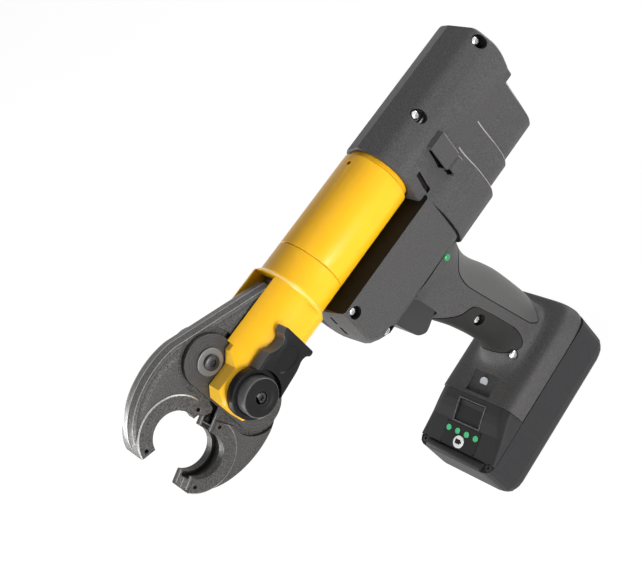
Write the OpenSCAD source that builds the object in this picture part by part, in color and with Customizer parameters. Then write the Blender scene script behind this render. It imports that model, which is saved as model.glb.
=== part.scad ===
// Battery press tool with a swivelling fork head and a pair of pressing tongs.
// X runs forward, Y to the left, Z up; the origin is the middle of the battery's bottom face.
// The drive is drawn along its tube axis, with x = 0 near the tube's front seam and the axis as z = 0.

/* [Battery] */
// Length of the battery
battery_l = 137; // [134:0.5:142]
// Width over the battery's sides
battery_w = 75; // [73:0.5:78]
// Height of the lower case up to its seam
case_h = 40; // [40:0.5:42]
// Wall of the battery case
case_wall = 2.6; // [2:0.1:3.2]
// Height of the foot and the battery's top over the seam
foot_h = 15; // [14:0.5:17]
// Diameter of a battery cell
cell_d = 18.3; // [17.5:0.1:18.3]

/* [Drive] */
// Height of the tube axis over the ground, above the battery's middle
axis_z = 248.3; // [244:0.1:253]
// Rise of the tube axis towards the front, in degrees
axis_tilt = 2.5; // [1.5:0.1:3.5]
// Diameter of the press tube
tube_d = 46; // [45:0.1:47]
// Visible length of the press tube
tube_l = 70.7; // [68:0.1:73]
// Wall of the press tube
tube_wall = 5; // [4.4:0.1:5.4]
// Width of the front housing
housing_w = 54; // [53:0.5:57]
// Diameter of the motor
motor_d = 36; // [32:0.5:38]
// Length of the motor
motor_l = 31; // [28:0.5:32]
// Diameter of the gearbox
gear_d = 38; // [34:0.5:39]
// Width of the handle
handle_w = 34; // [32:0.5:36]

/* [Fork head] */
// Diameter of the fork head
head_d = 52; // [51:0.1:54]
// Length of the fork from its shoulder to its front
fork_l = 78.5; // [77.5:0.1:80]
// Width of the slot between the cheeks
slot_w = 20.8; // [20.8:0.1:21.4]
// Diameter of the lock pin
pin_d = 16; // [15:0.1:16.4]
// Distance from the lock pin's axis to the fork's front
pin_back = 15.5; // [15:0.1:16]
// Diameter of the lock pin's knob
knob_d = 24.4; // [23:0.1:25]
// Diameter of the seat ring round the knob
seat_d = 31.2; // [30:0.1:32]
// How far the knob's face lies from the middle plane
knob_reach = 38; // [37:0.1:40]

/* [Pressing tongs] */
// Distance from the lock pin to each jaw bolt
bolt_reach = 24.5; // [24.3:0.1:25]
// Diameter of the jaw bolts
bolt_d = 14; // [12:0.1:14.5]
// Radius of the side plates' round ends
plate_r = 16.4; // [15.8:0.1:16.6]
// Thickness of a side plate
plate_t = 2.8; // [2.4:0.1:2.9]
// Thickness of the jaws at their rims
jaw_rim_t = 12.4; // [12:0.1:12.6]
// Thickness of the jaws at the pressing contour
jaw_t = 19.2; // [18.6:0.1:19.6]
// Distance from the jaw bolts forward to the middle of the pressing contour
contour_reach = 38.6; // [38:0.1:39.5]
// Diameter of the closed pressing contour
contour_d = 28.4; // [26:0.1:29]
// Diameter of the groove in the contour
groove_d = 34; // [32:0.1:35]
// How far each jaw stands open at rest, in degrees
jaw_open = 18; // [17.5:0.1:18.5]
// Diameter of the pressing rollers
roller_d = 16.8; // [16:0.1:17]
// Travel of the ram from rest to closed jaws
ram_travel = 24; // [23.5:0.1:24.5]

/* [Clearances] */
// Gap round parts that fit or slide by hand
gap = 0.3; // [0.25:0.01:0.32]
// Gap on the radius of shafts in their bores
fit_gap = 0.05; // [0.03:0.01:0.08]

/* [Hidden] */
$fn = 48;

// Places along the tube axis
axis_x = 40.5;
tube_front = -3.3;
tube_rear = tube_front - tube_l;
fork_rear = 20;
fork_front = fork_rear + fork_l;
pin_x = fork_front - pin_back;
cover_front = tube_rear - 3;
cover_rear = -185.5;
joint_x = -82;
tube_seat_d = tube_d - 4;
tube_end = tube_rear - 22;
bore_d = tube_d - 2 * tube_wall;
pump_front = tube_end - gap;
pump_l = 24;
gear_front = pump_front - pump_l - gap;
gear_l = 22;
motor_front = gear_front - gear_l - gap;
slot_h = slot_w / 2;
board_rear = -168;
board_front = -94;
board_w = 20;
board_z = -41.8;
board_t = 1.8;
can_d = 10;
piston_rear = tube_end + 12;
piston_l = 14;
body_bottom = -70;
body_top = -tube_d / 2 + 0.6;
half_w = housing_w / 2;

// Places on the battery and the foot
half_l = battery_l / 2;
half_b = battery_w / 2;
top_z = case_h + foot_h;
seam_x = 23;
slope_x = 43;
bead_d = 7;
deck_t = 1.1;
tray_x = half_l - 10.5;
tray_y = half_b - case_wall - 2;
cell_gap = 0.4;
cell_l = 2 * (tray_y - cell_gap);
tray_floor = case_h - deck_t - 0.5 - 2 * cell_d;
slope_end = half_l - bead_d - gap;
slope_z = case_h + 7.3;
slope_low = case_h + 1.8;
slope_a = atan((slope_z - slope_low) / (slope_end - slope_x));

// A rounded corner at p between its neighbours a and b, cut back by d along both sides
function corner(a, p, b, d, n) = d == 0 ? [p] :
    let (k = min(d, norm(a - p) * 0.45, norm(b - p) * 0.45), u = (a - p) / norm(a - p),
        v = (b - p) / norm(b - p))
    [for (i = [0 : n]) let (t = i / n)
        (1 - t) * (1 - t) * (p + k * u) + 2 * t * (1 - t) * p + t * t * (p + k * v)];

// An outline with rounded corners, where each corner is [first, second, cut-back]
function rounded(c, n = 3) = let (m = len(c), q = [for (k = c) [k[0], k[1]]])
    [for (i = [0 : m - 1]) each corner(q[(i + m - 1) % m], q[i], q[(i + 1) % m], c[i][2], n)];

// A cubic curve through p0 and p3, steered by p1 and p2
function curve(p0, p1, p2, p3, n) = [for (i = [0 : n]) let (t = i / n, s = 1 - t)
    s * s * s * p0 + 3 * s * s * t * p1 + 3 * s * t * t * p2 + t * t * t * p3];

// Half of a rounded oblong from its front round to its rear, between x0 and x1, n being its squareness
function half_oval(x0, x1, w, n, z, steps = 12) = [for (i = [0 : steps])
    let (t = 180 * i / steps, c = cos(t), s = sin(t))
    [(x0 + x1) / 2 + (x1 - x0) / 2 * sign(c) * pow(abs(c), 2 / n), w * pow(abs(s), 2 / n), z]];

// A closed solid through rings of points, with the first ring clockwise as seen from outside
module loft(rings) {
    n = len(rings[0]);
    m = len(rings);
    polyhedron(
        points = [for (r = rings) each r],
        faces = concat(
            [[for (i = [0 : n - 1]) i]],
            [[for (i = [n - 1 : -1 : 0]) (m - 1) * n + i]],
            [for (k = [0 : m - 2], i = [0 : n - 1]) let (a = k * n + i, b = k * n + (i + 1) % n)
                each [[a, a + n, b + n], [a, b + n, b]]]),
        convexity = 8);
}

// Places its children in the frame of the tube axis
module on_axis() {
    translate([axis_x, 0, axis_z]) rotate([0, -axis_tilt, 0]) children();
}

// A cylinder along the tube axis from x0 to x1
module along(x0, x1, d) {
    translate([x0, 0, 0]) rotate([0, 90, 0]) cylinder(h = x1 - x0, d = d);
}

// A cylinder across the tool from y0 to y1 at x, z
module across(x, z, y0, y1, d) {
    translate([x, y1, z]) rotate([90, 0, 0]) cylinder(h = y1 - y0, d = d);
}

// A block from corner a to corner b
module block(a, b) {
    translate(a) cube(b - a);
}

// A profile in x and z, extruded across the tool from y0 to y1
module profile(points, y0, y1) {
    translate([0, y1, 0]) rotate([90, 0, 0]) linear_extrude(y1 - y0) polygon(points);
}

// A screw across the tool, its head's top at y1 and its tip at y0
module screw(x, z, y0, y1, head_d, shank_d) {
    difference() {
        union() {
            across(x, z, y1 - 2.6, y1, head_d);
            across(x, z, y0, y1 - 2.6, shank_d);
        }
        translate([x, y1 + 0.1, z]) rotate([90, 0, 0]) cylinder(h = 1.3, d = head_d * 0.45, $fn = 6);
    }
}

// The hole for such a screw: recessed for its head on the near side, blind in the far half
module screw_hole(s, head_d, shank_d, near) {
    if (near) across(s[0], s[1], s[3] - 2.6, 60, head_d + 2 * gap);
    if (near) across(s[0], s[1], -1, s[3], shank_d + 2 * fit_gap);
    if (!near) across(s[0], s[1], -1, gap - s[2], shank_d + 2 * fit_gap);
}

// Section of the motor cover's upper lobe, drawn in by g
function lobe(g) = [[0, 25 - g, 0], [17 - g * 0.7, 18.4 - g, 3], [26 - g, 5 - g * 0.5, 9],
    [26 - g, -14, 1.5], [23 - g, -17, 1], [23 - g, body_top + gap, 0], [0, body_top + gap, 0]];

// Section of the cover's lower lobe, bulging by b with its bottom at z and its corner fuller by k
function belly(b, z, g = 0, k = 0) = [[0, -12, 0], [22.6, -12, 0], [23, -28, 5], [23 + b - g, -44, 8],
    [23 + b - g, z + 15 - k, 8], [15 + b - g + k * 0.6, z + 2 + g - k * 0.3, 7], [0, z + g, 0]];

function ring_x(x, corners) = [for (p = rounded(corners)) [x, p[0], p[1]]];

// Where the case screws stand: [x, z, y of the tip, y of the head's top]
cover_screws = [[-114, 15, -16, 17], [-178.5, 13, -14, 15]];
body_screws = [[4.5, -29, -18, 20], [-4, -63, -14, 18]];
screw_head = 7;
screw_shank = 3.8;

module cover_half(near) {
    difference() {
        union() {
            loft([ring_x(cover_front, lobe(1)), ring_x(cover_front - 1.2, lobe(0)),
                ring_x(-182.6, lobe(0)), ring_x(-184.6, lobe(0.9)), ring_x(cover_rear, lobe(2.4))]);
            loft([ring_x(joint_x - gap, belly(4, -78)), ring_x(-121.5, belly(4, -78)),
                ring_x(-122.5, belly(4, -78, 0.9))]);
            loft([ring_x(-121, belly(2, -71.5, 0, 2)), ring_x(-143.6, belly(2, -71.5, 0, 2)),
                ring_x(-144.5, belly(2, -71.5, 0.9, 2))]);
            loft([ring_x(-143, belly(0.3, -67, 0, 5)), ring_x(-177.2, belly(0.3, -67, 0, 5)),
                ring_x(-178, belly(0.3, -67, 0.9, 5))]);
            block([-116, 20, -20], [-102, 28.4, 0.5]);
            block([-115.5, 20, -29], [-105, 26.4, -20]);
        }
        profile([[-178.8, 26], [-188, 26], [-188, 13.5]], -30, 30);
        along(tube_end - 1, cover_front + 1, tube_seat_d + 2 * fit_gap);
        along(pump_front - pump_l - gap, pump_front + gap, 40 + 2 * gap);
        along(gear_front - gear_l - gap, gear_front + gap, gear_d + 2 * gap);
        along(motor_front - motor_l - gap, motor_front + gap, motor_d + 2 * gap);
        block([board_rear - 2, -1, board_z - 16.2], [board_front + 2, board_w - 2, board_z + 14.8]);
        block([board_rear - 0.2, -1, board_z - 0.2], [board_front + 0.2, board_w + 0.2, board_z + board_t + 0.2]);
        for (s = cover_screws) screw_hole(s, screw_head, screw_shank, near);
    }
}

module motor_cover_left() {
    color("dimgray") on_axis() cover_half(true);
}

module motor_cover_right() {
    color("dimgray") on_axis() mirror([0, 1, 0]) cover_half(false);
}

// Section of the front housing, half width w, its bottom at z
function hull_ring(x, w, z, t = 0) = ring_x(x, [[0, body_top - t, 0], [w, body_top - t, 1.2],
    [w, z + 9, 5], [w - 8, z, 5], [0, z - 0.5, 0]]);

// Stations of the handle from the foot up: [z, rear x, front x, half width, squareness]
foot_stations = [[0, -70.3, 60, half_b - 0.3, 8], [4, -70.3, 60, half_b - 0.5, 8],
    [10, -69.4, 58, half_b - 2.6, 7], [13.6, -67.6, 52, half_b - 5, 6],
    [15, -64, 46, half_b - 9, 5]];
handle_stations = [[15.6, -63, 22, 25, 3.2], [17, -60.5, 8, 21, 2.8], [21, -59, -3, 18.4, 2.6],
    [32, -58.6, -9.6, 17.2, 2.5], [47, -57, -8.6, 17, 2.5], [74, -52.6, -2, 17, 2.5],
    [88, -48.6, 2.8, 17, 2.5], [100, -44.2, 7, 17.2, 2.5], [111, -42, 8, 18, 2.4],
    [121, -42.4, 9, 19.5, 2.4], [128, -44, 10, 21.5, 2.4], [136, -48, 16, 24, 2.5],
    [142, -50, 26, 25.4, 2.6]];

function station(s, base, w) = half_oval(s[1], s[2], s[3] * w, s[4], base + s[0]);

// Side outline of the trigger, given forward of its own rest place
trigger_rear = -45;
trigger_side = [[-14, -71.5, 1], [-15.5, -80, 4], [-20.6, -99, 5], [-27, -104, 3],
    [-34, -101.5, 2], [trigger_rear, -97, 1], [trigger_rear, -71.5, 1]];
trigger_w = 23;
trigger_stroke = 6;

module trigger_path() {
    for (dx = [0, -trigger_stroke - gap]) translate([dx, 0, 0])
        profile([[-10, -71.5 + gap], [-10, -99], [-27, -104.4], [trigger_rear - gap, -97.4],
            [trigger_rear - gap, -71.5 + gap]], -trigger_w / 2 - gap, trigger_w / 2 + gap);
}

// Bolts through the handle and the foot: [x, z, y of the tip, y of the head's top]
grip_screws = [[-14.2, 111, -12, 13.4], [-14.5, 63.5, -15, 19]];

// The space in the foot that takes the battery's rails
rail_w = 52;
neck_w = 44;
rail_z0 = case_h + 5;
rail_z1 = case_h + 9.6;
rail_rear = -61;
module rail_space() {
    block([rail_rear - 5, -rail_w / 2 - gap, rail_z0 - gap],
        [seam_x + 1, rail_w / 2 + gap, rail_z1 + gap]);
    block([rail_rear - 5, -neck_w / 2 - gap, case_h - 1], [seam_x + 1, neck_w / 2 + gap, rail_z1]);
}

module switch_space(c) {
    block([-28 - c, -9 - c, 146 - c], [-9.6 + c, 9 + c, 170 + c]);
}

module housing_half(near) {
    difference() {
        loft([hull_ring(13, 9, -55, 1.5), hull_ring(12.2, 17, -57, 0.8),
            hull_ring(10.6, half_w - 1.4, -60, 0.2), hull_ring(9, half_w, -61.5),
            hull_ring(3, half_w, -66), hull_ring(-5, half_w, body_bottom),
            hull_ring(joint_x, half_w, body_bottom)]);
        along(joint_x - 2, 30, tube_d + 2 * gap);
        for (s = body_screws) screw_hole(s, screw_head, screw_shank, near);
        if (near) light_at(-2.4) cylinder(h = 10, d = light_d + 2 * fit_gap);
    }
}

// The space that the motor cover takes over the handle
module cover_space() {
    on_axis() block([-200, -60, -78 - gap], [joint_x, 60, 40]);
}

module handle_half(near) {
    difference() {
        loft(concat([for (s = foot_stations) station(s, case_h + gap, 1)],
            [for (s = handle_stations) station(s, case_h, handle_w / 34)]));
        block([seam_x - gap, -1, 0], [80, 60, top_z + 6]);
        on_axis() block([-200, -60, body_bottom - 0.5 - gap], [100, 60, 40]);
        cover_space();
        on_axis() trigger_path();
        switch_space(fit_gap);
        rail_space();
        for (s = grip_screws) screw_hole(s, screw_head, screw_shank, near);
        soft_cut(pad_side);
        soft_cut(insert_side);
        work_light_bore();
    }
}

// Places its children square to the chamfer that the status light looks out of, h over its face
light_d = 5;
module light_at(h) {
    translate([-71.5, half_w - 4, body_bottom + 4.5]) rotate([-atan2(9, -8), 0, 0])
        translate([0, 0, h]) children();
}

module work_light_bore() {
    translate([8, 0, top_z - 4]) rotate([0, 25, 0]) cylinder(h = 30, d = 7 + 2 * fit_gap);
}

module housing_left() {
    color("dimgray") on_axis() housing_half(true);
}

module housing_right() {
    color("dimgray") on_axis() mirror([0, 1, 0]) housing_half(false);
}

module handle_left() {
    color("dimgray") handle_half(true);
}

module handle_right() {
    color("dimgray") mirror([0, 1, 0]) handle_half(false);
}

// Outline of the soft pad over the back of the handle, seen from the side
pad_side = [[-80, 156, 1], [-50, 167, 1], [-36, 164.5, 8], [-25.4, 157, 9], [-23.4, 143, 14],
    [-28.4, 120, 14], [-41, 66, 6], [-46, 59.5, 3], [-52.5, 66, 6], [-62, 90, 1], [-80, 90, 1]];

// Outline of the insert over the front of the handle, seen from the side
insert_side = [[12, 142.6, 1], [6.8, 140.8, 2], [-6, 128, 5], [-17.5, 125, 7], [-24, 100, 12],
    [-29.5, 74, 8], [-26, 60.6, 7], [-12, 66.5, 8], [-3.6, 80, 6], [20, 84, 1]];

// Thickness of the soft grip pieces, and the groove along their edges
pad_t = 2;
pad_gap = 0.15;

// The handle's form, drawn in by t
module handle_form(t) {
    loft([for (s = handle_stations) let (h = half_oval(s[1] + t, s[2] - t, s[3] * handle_w / 34 - t,
        s[4], case_h + s[0])) concat(h, [for (i = [len(h) - 2 : -1 : 1]) [h[i][0], -h[i][1], h[i][2]]])]);
}

// The recess that a soft piece with this outline sits in
module soft_cut(outline) {
    difference() {
        profile(rounded(outline, 4), -60, 60);
        handle_form(pad_t + pad_gap);
    }
}

// A soft piece over the handle, inside an outline seen from the side
module soft_piece(outline) {
    intersection() {
        profile(rounded(outline, 4), -60, 60);
        difference() {
            handle_form(0);
            handle_form(pad_t);
        }
    }
}

module grip_pad() {
    color("gray") difference() {
        soft_piece(pad_side);
        cover_space();
    }
}

module grip_insert() {
    color("dimgray") difference() {
        soft_piece(insert_side);
        for (s = grip_screws) across(s[0], s[1], 0, 60, screw_head + 2 * gap);
    }
}

module status_light() {
    color("green") on_axis() light_at(-2.4) cylinder(h = 3, d = light_d);
}

module work_light() {
    color("white") translate([8, 0, top_z - 4]) rotate([0, 25, 0]) cylinder(h = 5, d = 7);
}

module trigger() {
    color("dimgray") on_axis() profile(rounded(trigger_side), -trigger_w / 2, trigger_w / 2);
}

module switch_unit() {
    color("black") switch_space(0);
}

module case_screws() {
    color("silver") on_axis() for (s = concat(cover_screws, body_screws))
        screw(s[0], s[1], s[2], s[3], screw_head, screw_shank);
}

module handle_screws() {
    color("silver") for (s = grip_screws) screw(s[0], s[1], s[2], s[3], screw_head, screw_shank);
}

// The press tube holds the piston; its rear steps down into the housing
module press_tube() {
    color("gold") on_axis() difference() {
        rotate([0, 90, 0]) rotate_extrude() polygon([[0, tube_end], [tube_seat_d / 2, tube_end],
            [tube_seat_d / 2, tube_rear], [tube_d / 2 - 1, tube_rear], [tube_d / 2, tube_rear + 1],
            [tube_d / 2, tube_front - 0.5], [tube_d / 2 - 0.5, tube_front], [0, tube_front]]);
        along(tube_end + 4, tube_front + 1, bore_d);
        along(tube_end - 1, tube_end + 5, 5);
        translate([tube_rear + 7.5, 0, tube_d / 2 - 3]) cylinder(h = 4, d = 3.4);
    }
}

module pump_block() {
    color("silver") on_axis() difference() {
        along(pump_front - pump_l, pump_front, 40);
        block([cover_screws[0][0] - 4.4, -30, cover_screws[0][1] - 4.4],
            [cover_screws[0][0] + 4.4, 30, 30]);
    }
}

module gearbox() {
    color("darkgray") on_axis() difference() {
        along(gear_front - gear_l, gear_front, gear_d);
        along(gear_front - gear_l - 1, gear_front - gear_l + 12, 5 + 2 * fit_gap);
    }
}

module motor() {
    color("silver") on_axis() difference() {
        along(motor_front - motor_l, motor_front, motor_d);
        along(motor_front - 8, motor_front + 1, 5 + 2 * fit_gap);
    }
}

module motor_shaft() {
    color("gray") on_axis() along(motor_front - 7.5, motor_front + 11, 5);
}

module control_board() {
    color("green") on_axis() {
        block([board_rear, -board_w, board_z], [board_front, board_w, board_z + board_t]);
        block([board_rear + 8, -board_w / 2, board_z - 10.2],
            [board_rear + 28, board_w / 2, board_z]);
        for (i = [0 : 2]) across(board_front - 14 - 12 * i, board_z - can_d / 2, -12, 12, can_d);
    }
}

// The cheeks seen from the side, upper edge first
fork_side = [[-30, 30], [66.5, 30], [67.5, 19], [72.5, 19], [77.5, bolt_reach - 9.3],
    [fork_front - 5, bolt_reach - 9.3], [fork_front, 9.3], [fork_front, -9.3],
    [fork_front - 5, 9.3 - bolt_reach], [77.5, 9.3 - bolt_reach], [72.5, -19], [67.5, -19],
    [66.5, -30], [-30, -30]];
spigot_rear = -24;
ram_d = 16;
ram_neck = 3.7;

module fork_head() {
    color("gold") on_axis() difference() {
        intersection() {
            rotate([0, 90, 0]) rotate_extrude() polygon([[0, spigot_rear],
                [bore_d / 2 - fit_gap, spigot_rear], [bore_d / 2 - fit_gap, tube_front + gap],
                [tube_d / 2 - 0.5, tube_front + gap], [tube_d / 2, tube_front + gap + 0.5],
                [tube_d / 2, fork_rear - 3.6], [head_d / 2 - 0.6, fork_rear - 0.6],
                [head_d / 2, fork_rear + 0.8], [head_d / 2, fork_front], [0, fork_front]]);
            profile(fork_side, -40, 40);
        }
        block([fork_rear, -slot_h, -40], [120, slot_h, 40]);
        block([ram_neck, -slot_h, -18], [fork_rear + 1, slot_h, 18]);
        along(spigot_rear - 1, ram_neck + 1, ram_d + 2 * fit_gap);
        across(pin_x, 0, -40, 40, pin_d + 2 * fit_gap);
        ring_groove();
        for (m = [0, 1]) mirror([0, m, 0]) block([flat_x, flat_y, -40], [120, 40, 40]);
        lever_slot(gap);
    }
}

flat_x = 37;
flat_y = head_d / 2 - 1.2;
seat_y = flat_y;
seat_floor = 1.5;
knob_stand = 6.8;
groove_x = -17;

module ring_groove() {
    rotate([0, 90, 0]) rotate_extrude() polygon([[bore_d / 2 - 1.6, groove_x - 1],
        [bore_d / 2 + 1, groove_x - 1], [bore_d / 2 + 1, groove_x + 1],
        [bore_d / 2 - 1.6, groove_x + 1]]);
}

// The wire ring that keeps the fork head in the tube and lets it swivel
module swivel_ring() {
    color("silver") on_axis() rotate([0, 90, 0]) rotate_extrude() polygon([
        [bore_d / 2 - 1.6 + gap, groove_x - 0.8], [bore_d / 2 - fit_gap, groove_x - 0.8],
        [bore_d / 2 - fit_gap, groove_x + 0.8], [bore_d / 2 - 1.6 + gap, groove_x + 0.8]]);
}

module pin_seat() {
    color("black") on_axis() difference() {
        across(pin_x, 0, seat_y, knob_reach - knob_stand, seat_d);
        across(pin_x, 0, seat_y - 1, seat_y + seat_floor + 0.1, pin_d + 2 * gap);
        across(pin_x, 0, seat_y + seat_floor, knob_reach, knob_d + 2 * gap);
    }
}

knob_rear = seat_y + seat_floor + 0.7;
module lock_pin() {
    color("silver") on_axis() difference() {
        union() {
            across(pin_x, 0, -22, knob_rear, pin_d);
            across(pin_x, 0, -24, -22, pin_d - 2);
        }
        across(pin_x, 0, knob_rear - 8, knob_rear + 1, 4);
    }
}

module pin_knob() {
    color("black") on_axis() difference() {
        union() {
            across(pin_x, 0, knob_rear, knob_reach - 0.8, knob_d);
            across(pin_x, 0, knob_reach - 0.8, knob_reach, knob_d - 1.6);
        }
        across(pin_x, 0, knob_rear - 1, knob_reach, 4.2);
        across(pin_x, 0, knob_reach - 3, knob_reach + 1, 7.4);
    }
}

module knob_screw() {
    color("dimgray") on_axis() screw(pin_x, 0, knob_rear - 6, knob_reach - 0.4, 7, 3.9);
}

// Outline of the lock lever from the side; its front follows the seat ring
lever_side = [[42, 12.6, 1.6], [46.2, 12.4, 2.5], [48.8, 8, 4], [55.4, 8.2, 4], [60.6, 12, 1],
    [74, 11, 1], [80, 8, 0], [80, -12, 0], [74.8, -14.6, 1], [57, -12.8, 3], [50.6, -10.8, 3],
    [47, -11.6, 2], [45.4, -14.4, 1.4], [41.8, -14.2, 1.6]];
lever_y = flat_y + gap;
lever_top = 34.6;
lever_travel = 4;

module lever_slot(c) {
    block([41, 20 - c, -4 - c], [68, 40, 4 + c]);
}

module lock_lever() {
    color("black") on_axis() union() {
        difference() {
            profile(rounded(lever_side), lever_y, lever_top);
            across(pin_x, 0, 0, 60, seat_d + 2 * gap);
            across(57, -2, lever_top - 0.7, lever_top + 1, 12);
        }
        block([46, 20, -4], [64, lever_y + 1, 4]);
    }
}

// One side plate with the holes for the lock pin and both jaw bolts
plate_y = jaw_rim_t / 2 + 0.7;
module plate(y0) {
    difference() {
        union() {
            for (s = [-1, 1]) across(pin_x, s * bolt_reach, y0, y0 + plate_t, 2 * plate_r);
            block([pin_x - plate_r, y0, -bolt_reach], [pin_x + plate_r, y0 + plate_t, bolt_reach]);
        }
        across(pin_x, 0, y0 - 1, y0 + plate_t + 1, pin_d + 4 * fit_gap);
        for (s = [-1, 1]) across(pin_x, s * bolt_reach, y0 - 1, y0 + plate_t + 1, bolt_d + 2 * fit_gap);
    }
}

module plate_left() {
    color("lightgray") on_axis() plate(plate_y);
}

module plate_right() {
    color("lightgray") on_axis() mirror([0, 1, 0]) plate(plate_y);
}

module jaw_bolts() {
    color("gray") on_axis() for (s = [-1, 1]) difference() {
        across(pin_x, s * bolt_reach, -plate_y - plate_t, plate_y + plate_t, bolt_d);
        across(pin_x, s * bolt_reach, -20, 20, 6 + 2 * fit_gap);
    }
}

washer_d = 17;
module bolt_washers() {
    color("lightgray") on_axis() for (s = [-1, 1], m = [0, 1]) mirror([0, m, 0]) difference() {
        across(pin_x, s * bolt_reach, plate_y + plate_t, plate_y + plate_t + 1.6, washer_d);
        across(pin_x, s * bolt_reach, plate_y, plate_y + plate_t + 2, 6 + 2 * fit_gap);
    }
}

module bolt_screws() {
    color("dimgray") on_axis() for (s = [-1, 1])
        screw(pin_x, s * bolt_reach, -plate_y - plate_t - 1.6, plate_y + plate_t + 4.2, 10, 6);
}

// Where a roller's middle lies as the jaw sees it, the jaw drawn closed and its bolt at the origin
roller_z = roller_d / 2 + 0.1;
ram_rest = fork_rear;
ram_back = 6;
function roller_at(s) = let (a = jaw_open * (1 - s / ram_travel), x = ram_rest + s - pin_x,
    z = roller_z - bolt_reach) [x * cos(a) + z * sin(a), -x * sin(a) + z * cos(a)];

// Outer line of a jaw drawn in by g, from the tail over the back to the tip
tail_x = -57;
jaw_part = 0.15 - bolt_reach;
function jaw_back(g) = concat([[tail_x, 13.6 - g]],
    curve([12, 19.9 - g], [34 - g * 0.5, 19.6 - g], [63.5 - g, 1], [62 - g, jaw_part], 14));

// The tail's inner face stands clear of the roller along its whole path
function tail_face(n) = [for (i = [n : -1 : 0]) let (s = -ram_back + (ram_travel + ram_back) * i / n,
    p = roller_at(s), d = roller_at(s + 0.5) - roller_at(s - 0.5), u = d / norm(d))
    p + (roller_d / 2 + 0.2) * [-u[1], u[0]]];

function jaw_line(g) = concat(jaw_back(g), [[contour_reach, jaw_part], [9, jaw_part],
    [0, -14], [-12, -12]], [for (p = tail_face(8)) if (p[0] > tail_x + 1) p]);

web_t = 17.6;
module jaw() {
    difference() {
        union() {
            loft([for (k = [[-web_t / 2, 6], [-jaw_rim_t / 2, 0.9], [-1, 0], [1, 0],
                [jaw_rim_t / 2, 0.9], [web_t / 2, 6]]) [for (p = jaw_line(k[1])) [p[0], k[0], p[1]]]]);
            jaw_boss();
        }
        across(0, 0, -20, 20, bolt_d + 2 * fit_gap);
        across(contour_reach, -bolt_reach, -20, 20, contour_d);
        across(contour_reach, -bolt_reach, -4, 4, groove_d);
        across(0, -bolt_reach, -20, 20, pin_d + 2.4);
        for (m = [0, 1]) mirror([0, m, 0]) {
            plate_recess();
        }
    }
}

// The raised half ring round the contour
module jaw_boss() {
    intersection() {
        across(contour_reach, -bolt_reach, -jaw_t / 2, jaw_t / 2, groove_d + 13.6);
        block([0, -20, jaw_part], [80, 20, 40]);
    }
}

module plate_recess() {
    across(0, 0, jaw_rim_t / 2, 20, 2 * plate_r + 7.6);
    profile([[plate_r + 0.4, 1], [plate_r + 0.4, -40], [tail_x - 5, -40], [tail_x - 5, 9], [-14, 3]],
        jaw_rim_t / 2, 20);
}

module place_jaw() {
    on_axis() translate([pin_x, 0, bolt_reach]) rotate([0, -jaw_open, 0]) children();
}

module upper_jaw() {
    color("gray") place_jaw() jaw();
}

module lower_jaw() {
    color("gray") on_axis() mirror([0, 0, 1]) translate([pin_x, 0, bolt_reach])
        rotate([0, -jaw_open, 0]) jaw();
}

// Piston and ram rod in one piece
module piston() {
    color("silver") on_axis() union() {
        along(piston_rear, piston_rear + piston_l, bore_d - 2 * fit_gap);
        along(piston_rear + piston_l - 1, ram_rest - 10, ram_d);
    }
}

carrier_w = slot_w - 1.2;
module roller_carrier() {
    color("dimgray") on_axis() difference() {
        union() {
            for (m = [0, 1]) mirror([0, m, 0]) profile(rounded([[ram_rest - 10, -13, 2],
                [ram_rest + 1, -13, 4], [ram_rest + 6, -7, 3], [ram_rest + 6, 7, 3],
                [ram_rest + 1, 13, 4], [ram_rest - 10, 13, 2]]), 6.6, carrier_w / 2);
            block([ram_rest - 10, -7, -12], [ram_rest - 9, 7, 12]);
        }
        for (s = [-1, 1]) across(ram_rest, s * roller_z, -20, 20, 6);
    }
}

module roller_axles() {
    color("silver") on_axis() for (s = [-1, 1])
        across(ram_rest, s * roller_z, -carrier_w / 2, carrier_w / 2, 6);
}

module roller(s) {
    on_axis() difference() {
        across(ram_rest, s * roller_z, -6.3, 6.3, roller_d);
        across(ram_rest, s * roller_z, -8, 8, 6 + 2 * fit_gap);
    }
}

module upper_roller() {
    color("silver") roller(1);
}

module lower_roller() {
    color("silver") roller(-1);
}

// Ring of the lower case at height z, drawn in by gx front and back and gy at the sides
function case_ring(z, gx, gy) = [for (p = rounded([[half_l - gx, -half_b + gy, 10],
    [half_l - gx, half_b - gy, 10], [gx - half_l, half_b - gy, 10], [gx - half_l, gy - half_b, 10]],
    4)) [p[0], p[1], z]];

module battery_lower_case() {
    color("dimgray") difference() {
        union() {
            loft([case_ring(0, 9, 4.4), case_ring(1.8, 4.6, 2), case_ring(5, 1.8, 0.8),
                case_ring(10.5, 0, 0), case_ring(case_h - gap, 0, 0)]);
            across(half_l - bead_d / 2, case_h - 1, 10 - half_b, half_b - 10, bead_d);
        }
        block([-tray_x, -tray_y, tray_floor], [tray_x, tray_y, case_h + 10]);
        case_screw_holes();
    }
}

case_screw_at = [[half_l - 5.2, half_b - 5.2], [half_l - 5.2, 5.2 - half_b]];
module case_screw_holes() {
    for (p = case_screw_at) translate([p[0], p[1], case_h - 12]) cylinder(h = 11, d = 3 + 2 * fit_gap);
    for (p = case_screw_at) translate([p[0], p[1], case_h - 3]) cylinder(h = 30, d = 5.6 + 2 * gap);
}

module battery_screws() {
    color("silver") for (p = case_screw_at) translate([p[0], p[1], 0]) difference() {
        union() {
            translate([0, 0, case_h - 11]) cylinder(h = 9, d = 3);
            translate([0, 0, case_h - 3]) cylinder(h = 2.4, d = 5.6);
        }
        translate([0, 0, case_h - 1.6]) cylinder(h = 2, d = 2.6, $fn = 6);
    }
}

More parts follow.
